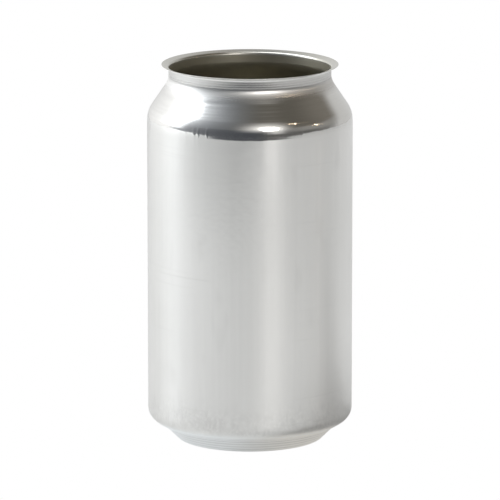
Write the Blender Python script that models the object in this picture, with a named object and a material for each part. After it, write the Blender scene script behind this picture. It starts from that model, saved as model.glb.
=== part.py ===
"""Empty, open-topped can body, drawn and ironed from one aluminium sheet.

One turned shell: a domed base inside a standing ring, a slanted foot, a thin straight wall, a necked
shoulder and a flared rim. Metres, +Z up; the origin is the centre of the ring that the can stands on.
"""

import math

import bmesh
import bpy
import numpy as np

# Driving dimensions: metres, and degrees for the angles.
HEIGHT = 0.1222
BODY_RADIUS = 0.03302
NECK_RADIUS = 0.02610
RIM_RADIUS = 0.02832

FLARE_BEND = 0.0012           # tight bend that turns the neck out into the flat lip of the rim
FLARE_TURN = 73.0             # the lip's slope, measured from upright
NECK_CORNER_HEIGHT = 0.1173   # height at which neck and shoulder slope would meet, unrounded
NECK_BEND = 0.0046            # hollow bend between them
SHOULDER_SLOPE = 33.6         # the shoulder's slope, measured from upright
SHOULDER_BEND = 0.0092        # round bend between the shoulder and the wall
WALL_FOOT_HEIGHT = 0.00745    # height at which wall and foot slope would meet, unrounded
WALL_FOOT_BEND = 0.0045       # round bend between them
FOOT_SLOPE = 58.8             # upper slope of the foot, measured from upright
FOOT_CREASE_BEND = 0.0008     # small hollow bend between the two slopes of the foot
FOOT_WALL_SLOPE = 45.0        # lower slope of the foot, measured from upright
RING_RADIUS = 0.02270         # middle of the standing ring
RING_BEND = 0.0010            # radius of the ring's rounded edges
RING_FLAT = 0.0006            # width of the flat that the can stands on
DOME_HEIGHT = 0.0103          # underside of the dome above the ground, at the centre
DOME_RADIUS = 0.045           # the dome is part of a sphere
DOME_EDGE_BEND = 0.0014       # bend between the dome and the leg that carries it

BASE_SHEET = 0.00025          # sheet thickness in the dome, the ring and the foot
WALL_SHEET = 0.00010          # in the ironed wall
NECK_SHEET = 0.00016          # in the shoulder, the neck and the rim
BASE_SHEET_TOP = 0.0075       # the sheet thins from here
WALL_SHEET_BOTTOM = 0.0190    # down to the thin wall here
WALL_SHEET_TOP = 0.0930       # thin as far as here
NECK_SHEET_BOTTOM = 0.1050    # and thicker again from here

SIDES = 60                    # facets round the can
SMOOTH_UNDER = 30.0           # edges sharper than this stay sharp, in degrees


def arc(centre, radius, start, end, steps):
    """Points along an arc, both ends included; the angles are in degrees from +r towards +z."""
    turns = np.radians(np.linspace(start, end, steps + 1))
    return [np.array((centre[0] + radius * math.cos(t), centre[1] + radius * math.sin(t))) for t in turns]


def rounded(before, corner, after, radius, steps):
    """Points of the arc that rounds one corner of a line."""
    before, corner, after = (np.array(point, dtype=float) for point in (before, corner, after))
    back = (before - corner) / np.linalg.norm(before - corner)
    ahead = (after - corner) / np.linalg.norm(after - corner)
    half = math.acos(float(np.clip(back @ ahead, -1.0, 1.0))) / 2
    centre = corner + (back + ahead) / np.linalg.norm(back + ahead) * radius / math.sin(half)
    first = corner + back * radius / math.tan(half) - centre
    last = corner + ahead * radius / math.tan(half) - centre
    start = math.degrees(math.atan2(first[1], first[0]))
    turn = (math.degrees(math.atan2(last[1], last[0])) - start + 180.0) % 360.0 - 180.0
    return arc(centre, radius, start, start + turn, steps)


def outer_line():
    """The outside of the sheet as (radius, height) points, from the rim's edge down to the dome's centre."""
    turn = math.radians(FLARE_TURN)
    rim_edge = (RIM_RADIUS, HEIGHT - NECK_SHEET * math.sin(turn))
    lip = (RIM_RADIUS - NECK_RADIUS - FLARE_BEND * (1 - math.cos(turn))) / math.sin(turn)
    flare_start = rim_edge[1] - lip * math.cos(turn) - FLARE_BEND * math.sin(turn)
    flare = arc((NECK_RADIUS + FLARE_BEND, flare_start), FLARE_BEND, 180.0 - FLARE_TURN, 180.0, 3)

    slope = math.radians(SHOULDER_SLOPE)
    neck_corner = (NECK_RADIUS, NECK_CORNER_HEIGHT)
    wall_corner = (BODY_RADIUS, neck_corner[1] - (BODY_RADIUS - NECK_RADIUS) / math.tan(slope))
    foot_corner = (BODY_RADIUS, WALL_FOOT_HEIGHT)

    # The ring's outer edge is an arc that the lower slope of the foot touches.
    lower = math.radians(FOOT_WALL_SLOPE)
    outer_centre = (RING_RADIUS + RING_FLAT / 2, RING_BEND)
    touch = (outer_centre[0] + RING_BEND * math.cos(lower), outer_centre[1] - RING_BEND * math.sin(lower))
    # The two slopes of the foot, as lines r = a + b * z, meet at the crease.
    upper_rise, lower_rise = math.tan(math.radians(FOOT_SLOPE)), math.tan(lower)
    upper_start = BODY_RADIUS - WALL_FOOT_HEIGHT * upper_rise
    lower_start = touch[0] - touch[1] * lower_rise
    crease_height = (upper_start - lower_start) / (lower_rise - upper_rise)
    crease = (lower_start + crease_height * lower_rise, crease_height)

    ring_outer = arc(outer_centre, RING_BEND, -FOOT_WALL_SLOPE, -90.0, 2)
    inner_centre = (RING_RADIUS - RING_FLAT / 2, RING_BEND)
    ring_inner = arc(inner_centre, RING_BEND, -90.0, -180.0, 2)

    # The bend under the dome's edge touches both the upright leg and the dome's sphere.
    leg_radius = inner_centre[0] - RING_BEND
    dome_centre = DOME_HEIGHT - DOME_RADIUS
    edge_centre_radius = leg_radius - DOME_EDGE_BEND
    edge_rise = math.sqrt((DOME_RADIUS - DOME_EDGE_BEND) ** 2 - edge_centre_radius**2)
    edge_turn = math.degrees(math.atan2(edge_rise, edge_centre_radius))
    dome_edge = arc((edge_centre_radius, dome_centre + edge_rise), DOME_EDGE_BEND, 0.0, edge_turn, 2)
    dome = arc((0.0, dome_centre), DOME_RADIUS, edge_turn, 90.0, 3)

    return [
        rim_edge,
        *flare,
        *rounded(flare[-1], neck_corner, wall_corner, NECK_BEND, 3),
        *rounded(neck_corner, wall_corner, foot_corner, SHOULDER_BEND, 4),
        (BODY_RADIUS, WALL_SHEET_TOP),
        (BODY_RADIUS, WALL_SHEET_BOTTOM),
        *rounded(wall_corner, foot_corner, crease, WALL_FOOT_BEND, 3),
        *rounded(foot_corner, crease, touch, FOOT_CREASE_BEND, 1),
        *ring_outer,
        *ring_inner,
        *dome_edge,
        *dome[1:],
    ]


def sheet_thickness(radius, height):
    """Thickness of the sheet at a point of its outside."""
    if radius < NECK_RADIUS and height < NECK_SHEET_BOTTOM:
        return BASE_SHEET
    heights = (BASE_SHEET_TOP, WALL_SHEET_BOTTOM, WALL_SHEET_TOP, NECK_SHEET_BOTTOM)
    return float(np.interp(height, heights, (BASE_SHEET, WALL_SHEET, WALL_SHEET, NECK_SHEET)))


def inner_line(outside):
    """The inside of the sheet: each outside point moved square to the line by the sheet's thickness."""
    inside = []
    for index, point in enumerate(outside):
        along = np.subtract(outside[min(index + 1, len(outside) - 1)], outside[max(index - 1, 0)])
        along = along / np.linalg.norm(along)
        inside.append(point + np.array((along[1], -along[0])) * sheet_thickness(*point))
    inside[-1] = np.array((0.0, DOME_HEIGHT + BASE_SHEET))
    return inside


def turned_shell(name, outside, inside):
    """The closed section between the two lines, spun once round the Z axis."""
    section = [*reversed(inside), *outside]
    shell = bmesh.new()
    corners = [shell.verts.new((radius, 0.0, height)) for radius, height in section]
    edges = [shell.edges.new(pair) for pair in zip(corners, corners[1:])]
    bmesh.ops.spin(
        shell,
        geom=[*corners, *edges],
        cent=(0.0, 0.0, 0.0),
        axis=(0.0, 0.0, 1.0),
        angle=2 * math.pi,
        steps=SIDES,
        use_merge=True,
    )
    bmesh.ops.remove_doubles(shell, verts=shell.verts, dist=1e-6)
    bmesh.ops.recalc_face_normals(shell, faces=shell.faces)
    mesh = bpy.data.meshes.new(name)
    shell.to_mesh(mesh)
    shell.free()
    mesh.shade_smooth()
    mesh.set_sharp_from_angle(angle=math.radians(SMOOTH_UNDER))
    return mesh


def bare_aluminium():
    """Bright bare sheet metal with a satin sheen from the ironing."""
    material = bpy.data.materials.new("bare_aluminium")
    material.use_nodes = True
    shader = material.node_tree.nodes["Principled BSDF"]
    shader.inputs["Base Color"].default_value = (0.80, 0.80, 0.81, 1.0)
    shader.inputs["Metallic"].default_value = 1.0
    shader.inputs["Roughness"].default_value = 0.28
    return material


for leftover in list(bpy.data.objects):
    bpy.data.objects.remove(leftover, do_unlink=True)

outside_line = outer_line()
can_body = bpy.data.objects.new("can_body", turned_shell("can_body", outside_line, inner_line(outside_line)))
can_body.data.materials.append(bare_aluminium())
bpy.context.collection.objects.link(can_body)
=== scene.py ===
"""The looks of an open aluminium can body: bright ironed wall, rolled neck and foot, lacquered inside."""

import math
from collections import namedtuple

import bpy
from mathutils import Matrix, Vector


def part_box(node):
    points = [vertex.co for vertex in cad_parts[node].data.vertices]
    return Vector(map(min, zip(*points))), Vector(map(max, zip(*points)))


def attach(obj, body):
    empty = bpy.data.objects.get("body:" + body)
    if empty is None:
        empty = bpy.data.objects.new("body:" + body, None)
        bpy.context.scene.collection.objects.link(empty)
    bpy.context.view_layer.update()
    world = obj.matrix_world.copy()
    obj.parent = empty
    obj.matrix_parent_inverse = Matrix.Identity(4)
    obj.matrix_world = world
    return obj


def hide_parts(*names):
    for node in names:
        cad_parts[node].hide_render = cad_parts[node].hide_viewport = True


MM = 0.001

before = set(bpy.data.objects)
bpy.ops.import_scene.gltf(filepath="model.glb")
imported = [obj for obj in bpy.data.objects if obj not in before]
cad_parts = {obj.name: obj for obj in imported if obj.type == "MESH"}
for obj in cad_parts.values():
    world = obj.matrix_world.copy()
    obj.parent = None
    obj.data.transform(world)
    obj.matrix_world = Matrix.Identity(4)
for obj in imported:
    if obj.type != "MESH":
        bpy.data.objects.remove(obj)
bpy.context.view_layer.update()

# ---------------------------------------------------------------- sizes
# Lengths are in metres. Slopes are in degrees from upright.
NODE = "can_body"
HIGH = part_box(NODE)[1]
HEIGHT = HIGH.z
BODY_RADIUS = HIGH.x

# Rim and neck. The shoulder's cone would meet the neck at CONE_EDGE_HEIGHT, but its slope eases just before.
RIM_RADIUS = 28.32 * MM
FLARE_SLOPE = 73.0            # of the rim's flat lip
FLARE_BEND = 0.8 * MM
NECK_RADIUS = 26.10 * MM
NECK_BEND = 2.5 * MM          # tight under the upright neck
CONE_EDGE_HEIGHT = 117.05 * MM
CONE_EASE = 0.65 * MM         # how far down the cone from there the easing starts
CONE_EASE_SLOPE = 12.0
CONE_EASE_BEND = 7.6 * MM

# Shoulder and wall.
CONE_SLOPE = 34.1
SHOULDER_BEND = 8.8 * MM
ONSET_HEIGHT = 103.3 * MM     # the wall leans in a little here, before the shoulder's bend
ONSET_SLOPE = 2.0
ONSET_BEND = 16.0 * MM
WALL_FOOT_HEIGHT = 7.45 * MM
WALL_FOOT_BEND = 4.5 * MM

# Foot, standing ring and dome.
FOOT_SLOPE = 58.8
FOOT_CREASE_BEND = 0.8 * MM
FOOT_LOWER_SLOPE = 45.0
RING_RADIUS = 22.70 * MM
RING_BEND = 1.0 * MM
RING_FLAT = 0.6 * MM
DOME_HEIGHT = 10.3 * MM
DOME_RADIUS = 45.0 * MM
DOME_EDGE_BEND = 1.4 * MM

# The sheet's thickness, and the two heights between which it is thinnest.
BASE_SHEET = 0.25 * MM
WALL_SHEET = 0.10 * MM
NECK_SHEET = 0.16 * MM
THIN_FROM = 19.0 * MM
THIN_TO = 93.0 * MM

# Rolled ridges round the neck and the foot.
NECK_PITCH = 0.72 * MM
FOOT_PITCH = 1.45 * MM
NECK_RIDGE = 0.004 * MM
FOOT_RIDGE = 0.012 * MM
RIDGE_STEP = 0.13 * MM

# Slow unevenness of the thin sheet: the most on the shoulder, the least at the top of the wall.
SHOULDER_WAVE = 0.060 * MM
ONSET_WAVE = 0.028 * MM
EVEN_WAVE = 0.008 * MM
WALL_WAVE = 0.030 * MM
WAVES_PER_METRE = 110.0

FACETS = 180
BEND_STEPS = 10
LONG_STEP = 3 * MM
MERGE_DISTANCE = 0.001 * MM

# Where each finish starts and ends: the height where there is none of it, then the height where it is full.
WALL_STARTS, WALL_ENDS = (5 * MM, 9 * MM), (103 * MM, 99 * MM)
SATIN_ENDS = (104 * MM, 74 * MM)
LOW_WEAR_ENDS = (21 * MM, 8 * MM)
PLEATS_START, PLEATS_END = (99 * MM, 104 * MM), (107.5 * MM, 104 * MM)
CONE_STARTS, CONE_ENDS = (105 * MM, 110 * MM), (118 * MM, 116 * MM)
RINGS_START, RINGS_END = (108 * MM, 115 * MM), (119.5 * MM, 118.5 * MM)
NECK_BEND_STARTS, NECK_BEND_ENDS = (113.5 * MM, 117 * MM), (119.4 * MM, 118.4 * MM)
UPRIGHT_STARTS, UPRIGHT_ENDS = (117.8 * MM, 119 * MM), (121.2 * MM, 120.7 * MM)
EASING = (113.7 * MM, 116.2 * MM)
CLEAR_RIM = (120 * MM, 121.3 * MM)
SHINY_RIM = (120.4 * MM, 121.4 * MM)
RELIEF_UNIT = 0.0008 * MM     # the height of 1 in the metal's relief


# ---------------------------------------------------------------- node trees written as expressions
class Wire:
    """One socket of a node tree. Arithmetic on wires and numbers adds the Math nodes for it."""

    def __init__(self, nodes, socket):
        self.nodes = nodes
        self.socket = socket

    def math(self, operation, *others):
        """This wire through a Math node, alone, as in FLOOR, or with others, as in MINIMUM."""
        return self.nodes.math(operation, self, *others)

    def __add__(self, other):
        return self.math("ADD", other)

    def __sub__(self, other):
        return self.math("SUBTRACT", other)

    def __mul__(self, other):
        return self.math("MULTIPLY", other)

    def __truediv__(self, other):
        return self.math("DIVIDE", other)

    def __rsub__(self, other):
        return self.nodes.math("SUBTRACT", other, self)

    __radd__ = __add__
    __rmul__ = __mul__

    def clamped(self):
        return self.math("MAXIMUM", 0.0).math("MINIMUM", 1.0)

    def output(self, name):
        """Another output of the node that this wire comes from."""
        return Wire(self.nodes, self.socket.node.outputs[name])

    def rise(self, low, high):
        """0 below low, 1 above high, and a smooth rise between them; high below low makes it a fall."""
        settings = {"interpolation_type": "SMOOTHSTEP"}
        values = {"Value": self, "From Min": low, "From Max": high}
        return self.nodes.add("ShaderNodeMapRange", settings, values)

    def band(self, start, end):
        """1 between a rise and a fall, and 0 outside them."""
        return self.rise(*start) * self.rise(*end)


class Nodes:
    """A node tree that grows one call at a time."""

    def __init__(self, tree):
        self.tree = tree

    def add(self, kind, settings=None, values=None, out=0):
        """The wire of one output of a new node. Settings belong to the node, and values to its sockets."""
        node = self.tree.nodes.new(kind)
        for name, value in (settings or {}).items():
            setattr(node, name, value)
        for name, value in (values or {}).items():
            self.feed(node.inputs[name], value)
        return Wire(self, node.outputs[out])

    def feed(self, socket, value):
        """Links a wire to a socket, or sets a plain value on it."""
        if isinstance(value, Wire):
            self.tree.links.new(value.socket, socket)
        else:
            socket.default_value = value

    def math(self, operation, *values):
        return self.add("ShaderNodeMath", {"operation": operation}, dict(enumerate(values)))

    def vector_math(self, operation, first, second, out=0):
        return self.add("ShaderNodeVectorMath", {"operation": operation}, {0: first, 1: second}, out)

    def scaled(self, colour, amount):
        return self.add("ShaderNodeVectorMath", {"operation": "SCALE"}, {0: colour, "Scale": amount})

    def xyz(self, x, y, z):
        return self.add("ShaderNodeCombineXYZ", None, {"X": x, "Y": y, "Z": z})

    def parts(self, vector, out="X"):
        """One part of a vector; output("Y") and output("Z") of it are the others."""
        return self.add("ShaderNodeSeparateXYZ", None, {0: vector}, out)

    def mixed(self, factor, first, second):
        """A colour between two colours. Each is a wire, or its red, green and blue."""
        ends = [colour if isinstance(colour, Wire) else (*colour, 1.0) for colour in (first, second)]
        values = {"Factor": factor, 6: ends[0], 7: ends[1]}
        return self.add("ShaderNodeMix", {"data_type": "RGBA"}, values, 2)

    def noise(self, place, scale, detail=3.0, roughness=0.5):
        """Noise at a point, with a scale of its own along each axis, in cells per metre."""
        stretched = self.vector_math("MULTIPLY", place, scale)
        values = {"Vector": stretched, "Scale": 1.0, "Detail": detail, "Roughness": roughness}
        return self.add("ShaderNodeTexNoise", None, values)

    def attribute(self, name):
        """A number that the points of the geometry hold."""
        return self.add("GeometryNodeInputNamedAttribute", {"data_type": "FLOAT"}, {"Name": name})

    def stored(self, mesh, name, kind, domain, value):
        """A mesh that holds a field under a name."""
        settings = {"data_type": kind, "domain": domain}
        values = {"Geometry": mesh, "Name": name, "Value": value}
        return self.add("GeometryNodeStoreNamedAttribute", settings, values)

    def captured(self, mesh, fields):
        """A mesh that keeps fields as they are now, each with a name, a kind and a wire, as outputs."""
        node = self.tree.nodes.new("GeometryNodeCaptureAttribute")
        for name, (kind, _) in fields.items():
            node.capture_items.new(kind, name)
        for name, (_, value) in fields.items():
            self.feed(node.inputs[name], value)
        self.feed(node.inputs["Geometry"], mesh)
        return Wire(self, node.outputs["Geometry"])


# ---------------------------------------------------------------- the can's drawn line
def slope_direction(slope):
    """Upwards along a slope, in the drawing's (radius, height); a negative slope leans in."""
    turn = math.radians(slope)
    return Vector((math.sin(turn), math.cos(turn)))


def meeting(point, direction, other_point, other_direction):
    """Where two straight lines in the drawing cross."""
    cross = direction.x * other_direction.y - direction.y * other_direction.x
    gap = other_point - point
    return point + direction * ((gap.x * other_direction.y - gap.y * other_direction.x) / cross)


# A corner of the line: where it is, the radius of its bend, the sheet's thickness, the pitch of the ridges,
# the longest run that stays uncut, and the heights of ridges and waves. In between, these change evenly.
PLAIN = (LONG_STEP, 0.0, 0.0)
Corner = namedtuple("Corner", "radius height bend sheet pitch step ridge wave", defaults=PLAIN)


def base_corners():
    """From the dome's centre over the standing ring to the foot's crease."""
    upright = Vector((0.0, 1.0))
    leg_radius = RING_RADIUS - RING_FLAT / 2 - RING_BEND
    dome_turn = math.asin((leg_radius - DOME_EDGE_BEND) / (DOME_RADIUS - DOME_EDGE_BEND))
    dome_corner = Vector((DOME_RADIUS * math.tan(dome_turn / 2), DOME_HEIGHT))
    dome_fall = Vector((math.cos(dome_turn), -math.sin(dome_turn)))
    leg_top = meeting(dome_corner, dome_fall, Vector((leg_radius, 0.0)), upright)

    # The ring stands flat; its outer bend runs into the lower slope of the foot.
    lower = slope_direction(FOOT_LOWER_SLOPE)
    outer_bend_radius = RING_RADIUS + RING_FLAT / 2
    foot_touch = Vector((outer_bend_radius + RING_BEND * lower.y, RING_BEND * (1 - lower.x)))
    ring_corner = meeting(foot_touch, lower, Vector((0.0, 0.0)), Vector((1.0, 0.0)))
    wall_foot = Vector((BODY_RADIUS, WALL_FOOT_HEIGHT))
    crease = meeting(wall_foot, slope_direction(FOOT_SLOPE), foot_touch, lower)

    return [
        Corner(0.0, DOME_HEIGHT, 0.0, BASE_SHEET, FOOT_PITCH),
        Corner(*dome_corner, DOME_RADIUS, BASE_SHEET, FOOT_PITCH),
        Corner(*leg_top, DOME_EDGE_BEND, BASE_SHEET, FOOT_PITCH),
        Corner(leg_radius, 0.0, RING_BEND, BASE_SHEET, FOOT_PITCH),
        Corner(*ring_corner, RING_BEND, BASE_SHEET, FOOT_PITCH, step=RIDGE_STEP, ridge=FOOT_RIDGE),
        Corner(*crease, FOOT_CREASE_BEND, BASE_SHEET, FOOT_PITCH, step=RIDGE_STEP * 2, ridge=FOOT_RIDGE),
    ]


def wall_corners():
    """The wall, from its foot to just under the shoulder."""
    return [
        Corner(BODY_RADIUS, WALL_FOOT_HEIGHT, WALL_FOOT_BEND, BASE_SHEET, FOOT_PITCH),
        Corner(BODY_RADIUS, THIN_FROM, 0.0, WALL_SHEET, NECK_PITCH, step=5 * MM, wave=WALL_WAVE),
        Corner(BODY_RADIUS, THIN_TO, 0.0, WALL_SHEET, NECK_PITCH, step=1.5 * MM, wave=EVEN_WAVE),
    ]


def top_corners():
    """The shoulder's cone, the upright neck and the flared rim."""
    upright = Vector((0.0, 1.0))
    cone = slope_direction(-CONE_SLOPE)
    cone_edge = Vector((NECK_RADIUS, CONE_EDGE_HEIGHT))
    onset = Vector((BODY_RADIUS, ONSET_HEIGHT))
    shoulder = meeting(onset, slope_direction(-ONSET_SLOPE), cone_edge, cone)
    ease = cone_edge - cone * CONE_EASE
    neck = meeting(ease, slope_direction(-CONE_EASE_SLOPE), cone_edge, upright)
    lip = slope_direction(FLARE_SLOPE)
    rim_edge = Vector((RIM_RADIUS, HEIGHT - NECK_SHEET * lip.x))
    flare = meeting(rim_edge, lip, Vector((NECK_RADIUS, 0.0)), upright)

    return [
        Corner(*onset, ONSET_BEND, NECK_SHEET, NECK_PITCH, step=0.7 * MM, wave=ONSET_WAVE),
        Corner(*shoulder, SHOULDER_BEND, NECK_SHEET, NECK_PITCH, step=0.45 * MM, wave=SHOULDER_WAVE),
        Corner(*ease, CONE_EASE_BEND, NECK_SHEET, NECK_PITCH, step=RIDGE_STEP),
        Corner(*neck, NECK_BEND, NECK_SHEET, NECK_PITCH, step=RIDGE_STEP, ridge=NECK_RIDGE),
        Corner(*flare, FLARE_BEND, NECK_SHEET, NECK_PITCH, step=0.2 * MM),
        Corner(*rim_edge, 0.0, NECK_SHEET, NECK_PITCH),
    ]


def line_object(corners):
    """The drawing as a chain of edges in the XZ plane; each corner keeps its sizes as attributes."""
    mesh = bpy.data.meshes.new("drawn_line")
    points = [(corner.radius, 0.0, corner.height) for corner in corners]
    mesh.from_pydata(points, [(i, i + 1) for i in range(len(points) - 1)], [])
    for name in Corner._fields[2:]:
        attribute = mesh.attributes.new(name, "FLOAT", "POINT")
        attribute.data.foreach_set("value", [getattr(corner, name) for corner in corners])
    line = bpy.data.objects.new("drawn_line", mesh)
    bpy.context.collection.objects.link(line)
    return line


# ---------------------------------------------------------------- the sheet turned from that line
def sheet_sockets(tree):
    """The tree's named inputs and its one output. Returns the nodes and the wire of the drawn line."""
    inputs = (
        ("Drawn Line", "NodeSocketGeometry"),
        ("Facets", "NodeSocketInt"),
        ("Bend Steps", "NodeSocketInt"),
        ("Waves Per Metre", "NodeSocketFloat"),
    )
    for name, kind in inputs:
        tree.interface.new_socket(name, in_out="INPUT", socket_type=kind)
    tree.interface.new_socket("Can", in_out="OUTPUT", socket_type="NodeSocketGeometry")
    g = Nodes(tree)
    return g, g.add("NodeGroupInput")


def rounded_line(g, drawn):
    """The drawn line with its corners rounded and its long runs cut into short steps."""
    chain = g.add("GeometryNodeMeshToCurve", None, {"Mesh": drawn})
    bends = {"Count": drawn.output("Bend Steps"), "Radius": g.attribute("bend"), "Limit Radius": True}
    rounded = g.add("GeometryNodeFilletCurve", {"mode": "POLY"}, {"Curve": chain, **bends})
    place = g.add("GeometryNodeInputPosition")
    next_point = {"Value": place, "Index": g.add("GeometryNodeInputIndex") + 1}
    next_place = g.add("GeometryNodeFieldAtIndex", {"data_type": "FLOAT_VECTOR"}, next_point)
    run = g.vector_math("DISTANCE", place, next_place, "Value")
    cuts = (run / g.attribute("step")).math("FLOOR")
    return g.add("GeometryNodeSubdivideCurve", None, {"Curve": rounded, "Cuts": cuts})


def turned_sheet_tree(outside, inside):
    """Geometry Nodes that round the line's corners, give it the sheet's thickness and turn it round Z."""
    tree = bpy.data.node_groups.new("turned_sheet", "GeometryNodeTree")
    tree.is_modifier = True
    g, drawn = sheet_sockets(tree)
    facets = drawn.output("Facets")
    line = rounded_line(g, drawn)
    curve = {"component": "CURVE"}
    count = g.add("GeometryNodeAttributeDomainSize", curve, {"Geometry": line}, "Point Count")

    # One row of the grid for each point: up the outside, round the rim's edge, and down the inside.
    rows = count * 2 + 1
    grid = g.add("GeometryNodeMeshGrid", None, {"Vertices X": rows, "Vertices Y": facets + 1})
    index = g.add("GeometryNodeInputIndex")
    guard = 1e-4                  # against a whole number that comes out a hair too low
    row = (index / (facets + 1) + guard).math("FLOOR")
    column = index - row * (facets + 1)
    point = row.math("MINIMUM", rows - 1 - row).math("MINIMUM", count - 1)
    inner = row.math("GREATER_THAN", count - 0.5)

    def along_line(value, kind="FLOAT"):
        """What the line holds at the point that a grid row stands for."""
        settings = {"data_type": kind, "domain": "POINT"}
        values = {"Geometry": line, "Value": value, "Index": point}
        return g.add("GeometryNodeSampleIndex", settings, values)

    # The ridges, and the sheet's thickness; the row on the rim's edge sits half a thickness further out.
    length = along_line(g.add("GeometryNodeSplineParameter", None, None, "Length"))
    ridge = along_line(g.attribute("ridge"))
    wave = (length / along_line(g.attribute("pitch")) * (2 * math.pi)).math("SINE")
    # How deep a point lies in a ridge's groove; the finish darkens the grooves by this, as painted shade.
    groove_shade = ridge / NECK_RIDGE * (0.5 - 0.5 * wave)
    sheet = along_line(g.attribute("sheet"))
    inward = sheet * ((row - (count - 1)) / 2).clamped() - ridge * wave
    onward = sheet * ((1 - (row - count).math("ABSOLUTE")).clamped() / 2)
    spot = g.parts(along_line(g.add("GeometryNodeInputPosition"), "FLOAT_VECTOR"))
    heading = g.parts(along_line(g.add("GeometryNodeInputTangent"), "FLOAT_VECTOR"))
    radius = spot + onward * heading - inward * heading.output("Z")
    height = spot.output("Z") + onward * heading.output("Z") + inward * heading

    # Once round the axis; the thin sheet's radius wanders with a soft noise.
    turn = column / facets * (2 * math.pi)
    east, north = turn.math("SINE"), turn.math("COSINE")
    here = g.xyz(radius * east, radius * north, height)
    soft = {"Vector": here, "Scale": drawn.output("Waves Per Metre"), "Detail": 3.0, "Roughness": 0.6}
    wander = (g.add("ShaderNodeTexNoise", None, soft) - 0.5) * 2 * along_line(g.attribute("wave"))
    wandering = radius + wander
    turned = g.xyz(wandering * east, wandering * north, height)

    # A flat map of the sheet: once round across, and the line's own length up.
    whole = {"Geometry": line, "Value": g.add("GeometryNodeSplineLength", None, None, "Length")}
    share = length / g.add("GeometryNodeSampleIndex", {"data_type": "FLOAT", "domain": "POINT"}, whole)
    flat = g.xyz(column / facets, (share + inner * 2 * (1 - share)) / 2, 0.0)

    fields = {"Flat": ("VECTOR", flat), "Inner": ("FLOAT", inner), "Groove": ("FLOAT", groove_shade.clamped())}
    kept = g.captured(grid, fields)
    mesh = g.stored(kept, "OFBake", "FLOAT2", "CORNER", kept.output("Flat"))
    mesh = g.stored(mesh, "groove_shade", "FLOAT", "POINT", kept.output("Groove"))
    mesh = g.add("GeometryNodeSetPosition", None, {"Geometry": mesh, "Position": turned})
    mesh = g.add("GeometryNodeMergeByDistance", None, {"Geometry": mesh, "Distance": MERGE_DISTANCE})
    mesh = g.add("GeometryNodeRealizeInstances", None, {"Geometry": mesh})
    mesh = g.add("GeometryNodeSetMaterial", None, {"Geometry": mesh, "Material": outside})
    lacquered = kept.output("Inner").math("GREATER_THAN", 0.5)
    lacquer = {"Geometry": mesh, "Material": inside, "Selection": lacquered}
    mesh = g.add("GeometryNodeSetMaterial", None, lacquer)
    g.feed(tree.nodes.new("NodeGroupOutput").inputs[0], mesh)
    return tree


def plain_mesh(name, line, tree, sizes):
    """What the tree makes of the line, as an object of its own with no modifier."""
    modifier = line.modifiers.new("turned_sheet", "NODES")
    modifier.node_group = tree
    for item in tree.interface.items_tree:
        if item.item_type == "SOCKET" and item.name in sizes:
            modifier[item.identifier] = sizes[item.name]
    made = line.evaluated_get(bpy.context.evaluated_depsgraph_get())
    mesh = bpy.data.meshes.new_from_object(made)
    mesh.name = name
    bpy.data.objects.remove(line)
    mesh.shade_smooth()
    piece = bpy.data.objects.new(name, mesh)
    bpy.context.collection.objects.link(piece)
    return piece


# ---------------------------------------------------------------- finishes
# How much of each finish there is at a height, from 0 to 1.
Zones = namedtuple("Zones", "wall satin low pleated cone ringed bend upright easing")


def new_finish(name):
    """A material with only its Principled shader: its nodes and that shader's sockets."""
    material = bpy.data.materials.new(name)
    material.use_nodes = True
    return material, Nodes(material.node_tree), material.node_tree.nodes["Principled BSDF"].inputs


def object_place(n):
    """Where a point of the can is, and its height alone."""
    place = n.add("ShaderNodeTexCoord", None, None, "Object")
    return place, n.parts(place, "Z")


def worn(n, place, zone, lines):
    """How worn the metal looks: scuffs, level scratches, and grey marks and bright specks above the foot."""
    scuffs = n.noise(place, (150.0, 150.0, 60.0), 2.0).rise(0.60, 0.74)
    scratches = n.noise(place, (28.0, 28.0, 2400.0), 0.0).rise(0.74, 0.80)
    greyed = n.noise(place, (700.0, 700.0, 330.0), 3.0, 0.6).rise(0.42, 0.68)
    specks = n.noise(place, (1100.0, 1100.0, 900.0), 2.0, 0.6).rise(0.50, 0.72)
    handled = zone.low * (0.04 + greyed * 0.13 - specks * 0.20)
    return 0.05 + (scuffs * 0.06 + scratches * 0.08 + handled) * zone.wall + (0.5 - lines) * 0.18


def metal_relief(n, place, zone, lines, ironed):
    """The fine relief, in relief units: draw lines, rings on the cone, small dents and upright pleats."""
    # The rings are deeper on the right of the can than on its left.
    right = n.parts(place).rise(-14 * MM, 0.0)
    rings = n.noise(place, (14.0, 14.0, 1050.0), 2.0, 0.55) * n.noise(place, (90.0, 90.0, 120.0), 1.0)
    rings = rings * zone.cone * (22 + 28 * right + (25 + 65 * right) * zone.ringed)
    pits = n.noise(place, (560.0, 560.0, 460.0), 3.0, 0.6)
    dents = pits * (10 + 28 * zone.satin + 125 * zone.low) * zone.wall
    # The pleats come here and there, where the wall turns into the shoulder.
    pleats = n.noise(place, (380.0, 380.0, 20.0), 1.0).rise(0.50, 0.68)
    pleats = pleats * n.noise(place, (51.0, 51.0, 10.0), 1.0).rise(0.48, 0.60) * zone.pleated
    # The easing tilts the cone a little more upright just under the neck.
    relief = lines * (1 + 13 * zone.ringed) + rings + zone.easing * 170
    return relief + ironed * zone.wall * 3 + dents + pleats * 110


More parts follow.
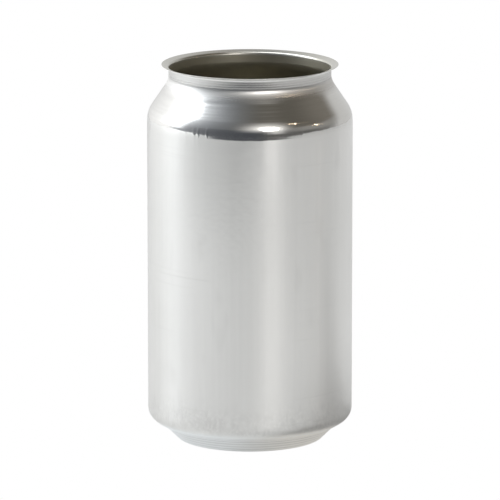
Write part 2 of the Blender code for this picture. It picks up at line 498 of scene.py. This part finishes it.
def bright_aluminium():
    """Drawn and ironed metal: fine upright lines on the wall, fine rings on neck and foot, some wear, and
    painted shade in the rings' grooves and on the upright neck.
    """
    material, n, shader = new_finish("bright_aluminium")
    place, height = object_place(n)
    zone = Zones(
        wall=height.band(WALL_STARTS, WALL_ENDS),
        satin=height.band(WALL_STARTS, SATIN_ENDS),
        low=height.rise(*LOW_WEAR_ENDS),
        pleated=height.band(PLEATS_START, PLEATS_END),
        cone=height.band(CONE_STARTS, CONE_ENDS),
        ringed=height.band(RINGS_START, RINGS_END),
        bend=height.band(NECK_BEND_STARTS, NECK_BEND_ENDS),
        upright=height.band(UPRIGHT_STARTS, UPRIGHT_ENDS),
        easing=height.rise(*EASING),
    )
    ironed = n.noise(place, (700.0, 700.0, 9.0), 4.0, 0.65)
    rolled = n.noise(place, (20.0, 20.0, 2600.0), 3.0, 0.6)
    lines = ironed * zone.wall + rolled * (1 - zone.wall)
    smudge = n.noise(place, (45.0, 45.0, 22.0))

    # Painted shade in the grooves of the rolled ridges on the neck and the foot.
    groove_shade = n.add("ShaderNodeAttribute", {"attribute_name": "groove_shade"}, None, "Fac")
    # Wear, with painted shade added in the grooves and on the upright neck under the rim.
    wear_and_painted_shade = (worn(n, place, zone, lines) + groove_shade * 0.36 + zone.upright * 0.14).clamped()
    clean = n.mixed(smudge, (0.90, 0.897, 0.886), (0.96, 0.957, 0.946))
    n.feed(shader["Base Color"], n.mixed(wear_and_painted_shade, clean, (0.42, 0.41, 0.40)))
    rough = 0.10 + 0.09 * zone.satin + 0.20 * zone.bend + 0.14 * zone.upright * (1 - zone.bend)
    n.feed(shader["Roughness"], rough + 0.04 * lines + 0.09 * (smudge - 0.5))
    n.feed(shader["Metallic"], 1.0)
    n.feed(shader["Anisotropic"], 0.88)
    relief = metal_relief(n, place, zone, lines, ironed)
    bump = {"Height": relief, "Strength": 1.0, "Distance": RELIEF_UNIT}
    n.feed(shader["Normal"], n.add("ShaderNodeBump", None, bump))
    return material


def lacquered_inside():
    """The same metal under a thin tinted lacquer."""
    material, n, shader = new_finish("lacquered_inside")
    place, height = object_place(n)
    cloud = n.noise(place, (60.0, 60.0, 40.0))
    rings = n.noise(place, (15.0, 15.0, 1800.0), 2.0)
    tinted = n.mixed(cloud, (0.60, 0.57, 0.47), (0.66, 0.63, 0.53))
    n.feed(shader["Base Color"], n.mixed(height.rise(*CLEAR_RIM), tinted, (0.68, 0.67, 0.62)))
    n.feed(shader["Roughness"], 0.42 - 0.22 * height.rise(*SHINY_RIM) + 0.08 * rings)
    n.feed(shader["Metallic"], 1.0)
    n.feed(shader["Coat Weight"], 0.4)
    n.feed(shader["Coat Roughness"], 0.25)
    return material


# ---------------------------------------------------------------- studio: lamps and camera
def direction(azimuth, elevation):
    """A unit vector; azimuth 0 points from the can to the camera's side and 90 to its right."""
    a, e = math.radians(azimuth), math.radians(elevation)
    return Vector((math.sin(a) * math.cos(e), -math.cos(a) * math.cos(e), math.sin(e)))


def panel_light(name, azimuth, elevation, distance, size, radiance, colour=(1.0, 1.0, 1.0)):
    """A flat lamp that faces the can. Its power follows from its radiance: how bright each point looks."""
    width, height = size
    light = bpy.data.lights.new(name, "AREA")
    light.shape = "RECTANGLE"
    light.size, light.size_y = size
    light.energy = radiance * math.pi * width * height
    light.color = colour
    lamp = bpy.data.objects.new(name, light)
    lamp.location = direction(azimuth, elevation) * distance + Vector((0, 0, HEIGHT / 2))
    lamp.rotation_euler = direction(azimuth, elevation).to_track_quat("Z", "Y").to_euler()
    lamp.visible_camera = False
    bpy.context.collection.objects.link(lamp)
    return lamp


def studio_lights():
    """Soft boxes on the left and above, a window in front, and three lamps that do one thing each."""
    # The left box is three panels, one on another, whose right edges make it fade out there in steps.
    for azimuth, width in ((-101, 0.60), (-99, 0.68), (-97, 0.80)):
        place = {"azimuth": azimuth, "elevation": 31, "distance": 1.3}
        panel_light("left_softbox", **place, size=(width, 1.15), radiance=0.5, colour=(0.96, 1.0, 1.02))
    place = {"azimuth": -118, "elevation": 80, "distance": 1.6}
    panel_light("high_softbox", **place, size=(1.15, 1.15), radiance=1.2)

    # The metal doesn't mirror this one: it sees the table's light and the can's shadow on it.
    place = {"azimuth": -88, "elevation": 20, "distance": 2.6}
    lamp = panel_light("table_light", **place, size=(0.6, 0.6), radiance=33.0, colour=(0.98, 1.0, 1.01))
    lamp.visible_glossy = False
    place = {"azimuth": 23, "elevation": 24, "distance": 4.0}
    panel_light("front_window", **place, size=(0.95, 1.0), radiance=4.8, colour=(1.0, 0.97, 0.93))

    # These two show only in reflections.
    place = {"azimuth": 57.5, "elevation": 35, "distance": 4.0}
    lamp = panel_light("warm_lamp", **place, size=(0.07, 0.07), radiance=85.0, colour=(1.0, 0.78, 0.54))
    lamp.visible_diffuse = False
    place = {"azimuth": 82, "elevation": 18, "distance": 4.0}
    lamp = panel_light("low_warm_lamp", **place, size=(0.09, 0.09), radiance=32.0, colour=(1.0, 0.76, 0.50))
    lamp.visible_diffuse = False


def studio_camera():
    """A long lens, a little above the can."""
    distance, elevation = 1.75, 11.76
    pixels_per_metre = 3099.0
    picture, sensor = 500, 36.0
    aim = Vector((0.02 * MM, 0.0, HEIGHT / 2 + 0.17 * MM))
    camera = bpy.data.cameras.new("camera")
    camera.sensor_width = sensor
    camera.lens = sensor * pixels_per_metre * distance / picture
    camera.clip_start, camera.clip_end = 0.05, 50.0
    view = bpy.data.objects.new("camera", camera)
    view.location = aim + direction(0.0, elevation) * distance
    view.rotation_euler = direction(0.0, elevation).to_track_quat("Z", "Y").to_euler()
    bpy.context.collection.objects.link(view)
    bpy.context.scene.camera = view


# ---------------------------------------------------------------- studio: the room that the metal mirrors
# Azimuth is measured as for the lamps, but in radians. Up is the elevation's sine, and side the azimuth's.
def room_in_front(n, azimuth, up):
    """Dark walls on the left and paler ones on the right, under a ceiling."""
    wall = n.mixed(azimuth.rise(0.05, 0.5), (0.058, 0.062, 0.070), (0.115, 0.112, 0.108))
    skirting = n.mixed(azimuth.rise(1.2, 1.8), (0.112, 0.109, 0.103), (0.185, 0.180, 0.170))
    right_wall = n.mixed(up.rise(0.02, 0.18), skirting, (0.250, 0.243, 0.226))
    wall = n.mixed(azimuth.rise(0.5, 1.3), wall, right_wall)
    ceiling = n.mixed(azimuth.rise(-1.0, 0.6), (0.098, 0.107, 0.116), (0.106, 0.097, 0.081))
    ceiling = n.mixed(azimuth.rise(1.15, 1.95), ceiling, (0.170, 0.155, 0.132))
    return n.mixed(up.rise(0.26, 0.40), wall, ceiling)


def lamp_spill(n, azimuth, up):
    """The left lamp's light on the room: it fades to the right, and is stronger higher up."""
    fading = (azimuth * -2.7 - 4.1).math("MINIMUM", 0.3).math("EXPONENT")
    rising = 0.42 + 0.54 * up.rise(0.05, 0.65) + 0.45 * up.rise(0.68, 0.80)
    return n.scaled((0.97, 1.0, 1.04), fading * rising * azimuth.rise(-2.75, -2.0))


def window_daylight(n, azimuth, up):
    """Daylight through the curtain round the front window, and on its sill."""
    curtain = azimuth.rise(-0.38, 0.52) * azimuth.rise(0.98, 0.30)
    curtain = curtain * up.rise(0.08, 0.46) * up.rise(0.86, 0.42)
    sill = azimuth.rise(0.28, 0.50) * azimuth.rise(0.76, 0.56)
    sill = sill * up.rise(-0.02, 0.10) * up.rise(0.40, 0.25)
    return n.scaled((1.0, 0.98, 0.95), curtain * 1.05 + sill * 0.40)


def paper_behind(n, side):
    """Pale paper, brightest on the left."""
    paper = n.scaled((1.0, 1.0, 0.99), 0.48 + 0.22 * (side * -1.1).math("EXPONENT"))
    return n.mixed(side.rise(0.1, 0.8), paper, (0.55, 0.544, 0.53))


def studio_world():
    """White for the camera, past the floor; for the metal, a dim room in front and a pale one behind."""
    world = bpy.data.worlds.new("studio")
    world.use_nodes = True
    n = Nodes(world.node_tree)
    east = n.parts(n.add("ShaderNodeTexCoord", None, None, "Generated"))
    up = east.output("Z")
    side = east / ((1 - up * up).math("SQRT") + 1e-4)
    azimuth = east.math("ARCTAN2", east.output("Y") * -1)

    room = n.vector_math("ADD", room_in_front(n, azimuth, up), lamp_spill(n, azimuth, up))
    room = n.vector_math("ADD", room, window_daylight(n, azimuth, up))
    behind = (azimuth - up * 0.75).rise(1.70, 2.10) + (azimuth * -1).rise(1.55, 1.85)
    seen = n.mixed(behind * up.rise(0.92, 0.45), room, paper_behind(n, side))
    path = n.add("ShaderNodeLightPath")
    # An even grey for light that is scattered, and white for the camera.
    lit = n.mixed(path.output("Is Diffuse Ray"), seen, (0.13, 0.13, 0.13))
    colour = n.mixed(path.output("Is Camera Ray"), lit, (1.0, 1.0, 1.0))
    n.feed(world.node_tree.nodes["Background"].inputs["Color"], colour)
    bpy.context.scene.world = world


# ---------------------------------------------------------------- studio: the table
def table_glow(n, place):
    """Light painted into the table's glow, by how far a point is from the can's axis and on which side."""
    reach = n.add("ShaderNodeVectorMath", {"operation": "LENGTH"}, {0: place}, "Value")
    across = n.parts(place)
    # Right and left are the angle from the camera's side, in radians.
    right = across.math("ARCTAN2", across.output("Y") * -1)
    left = right * -1

    # Painted light along the right, behind on the left, and on the left both near and far; painted shade far
    # off in front.
    painted_light_right = right.rise(0.12, 0.45) * 0.08 + right.rise(1.5, 2.3) * 0.04
    painted_light_right = painted_light_right * reach.rise(45 * MM, 190 * MM)
    painted_light_back_left = left.rise(1.8, 2.3) * left.rise(3.2, 2.4) * 0.085
    painted_light_near_left = left.rise(-0.5, 1.35) * (1 - 0.75 * left.rise(1.35, 1.75))
    painted_light_near_left = painted_light_near_left * reach.rise(500 * MM, 300 * MM) * reach.rise(50 * MM, 110 * MM) * 0.11
    painted_light_far_left = left.rise(0.95, 1.25) * left.rise(1.7, 1.5) * reach.rise(250 * MM, 420 * MM) * 0.06
    painted_shade_front = reach.rise(300 * MM, 560 * MM) * right.rise(0.1, -0.3) * right.rise(-1.7, -1.2) * 0.08
    # Faint crease-like painted light and shade in the table's glow, behind on the right.
    crease_light_noise = n.noise(n.xyz(right, reach, 0.0), (4.0, 45.0, 0.0), 3.0, 0.55) - 0.5
    painted_crease_light = crease_light_noise * right.rise(1.3, 1.8) * 0.16
    glow = painted_light_right + painted_light_back_left + painted_light_near_left + painted_light_far_left - painted_shade_front + painted_crease_light

    # The table's glow beside the can, and a paler painted glow under it, cooler on its left and paler and
    # warmer on its right.
    around = n.xyz(glow + 0.098, glow + 0.098, glow + 0.097)
    under = n.mixed(across.rise(-12 * MM, 18 * MM), (0.268, 0.29, 0.308), (0.362, 0.355, 0.336))
    return n.mixed(reach.rise(36 * MM, 27 * MM), around, under)


def white_table():
    """Plain white to the camera, a lit and glowing table to the metal, and clear from underneath."""
    material, n, shader = new_finish("white_table")
    place = n.add("ShaderNodeTexCoord", None, None, "Object")
    n.feed(shader["Emission Color"], table_glow(n, place))
    n.feed(shader["Emission Strength"], 1.0)
    n.feed(shader["Base Color"], (0.80, 0.80, 0.79, 1.0))
    n.feed(shader["Specular IOR Level"], 0.42)
    n.feed(shader["Roughness"], 0.42)
    table = Wire(n, n.tree.nodes["Principled BSDF"].outputs[0])
    camera_ray = n.add("ShaderNodeLightPath", None, None, "Is Camera Ray")
    white = n.add("ShaderNodeEmission", None, {"Color": (1.0, 1.0, 1.0, 1.0), "Strength": 1.0})
    seen = n.add("ShaderNodeMixShader", None, {0: camera_ray, 1: table, 2: white})
    underside = n.add("ShaderNodeNewGeometry", None, None, "Backfacing")
    clear = n.add("ShaderNodeBsdfTransparent")
    result = n.add("ShaderNodeMixShader", None, {0: underside, 1: seen, 2: clear})
    n.feed(n.tree.nodes["Material Output"].inputs["Surface"], result)
    return material


def studio_floor():
    """The table top that the can stands on. The shoulder mirrors its front edge and the dark room beyond."""
    front, side, back = -0.635, 2.5, 0.9
    mesh = bpy.data.meshes.new("floor")
    corners = [(-side, front, 0), (side, front, 0), (side, back, 0), (-side, back, 0)]
    mesh.from_pydata(corners, [], [(0, 1, 2, 3)])
    mesh.materials.append(white_table())
    floor = bpy.data.objects.new("floor", mesh)
    bpy.context.collection.objects.link(floor)


# ---------------------------------------------------------------- the scene
can_line = line_object([*base_corners(), *wall_corners(), *top_corners()])
can_tree = turned_sheet_tree(bright_aluminium(), lacquered_inside())
can_sizes = {"Facets": FACETS, "Bend Steps": BEND_STEPS, "Waves Per Metre": WAVES_PER_METRE}
can = plain_mesh("turned_can", can_line, can_tree, can_sizes)
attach(can, "root")
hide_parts(NODE)

studio_world()
studio_floor()
studio_camera()
studio_lights()
bpy.context.scene.view_settings.view_transform = "Standard"
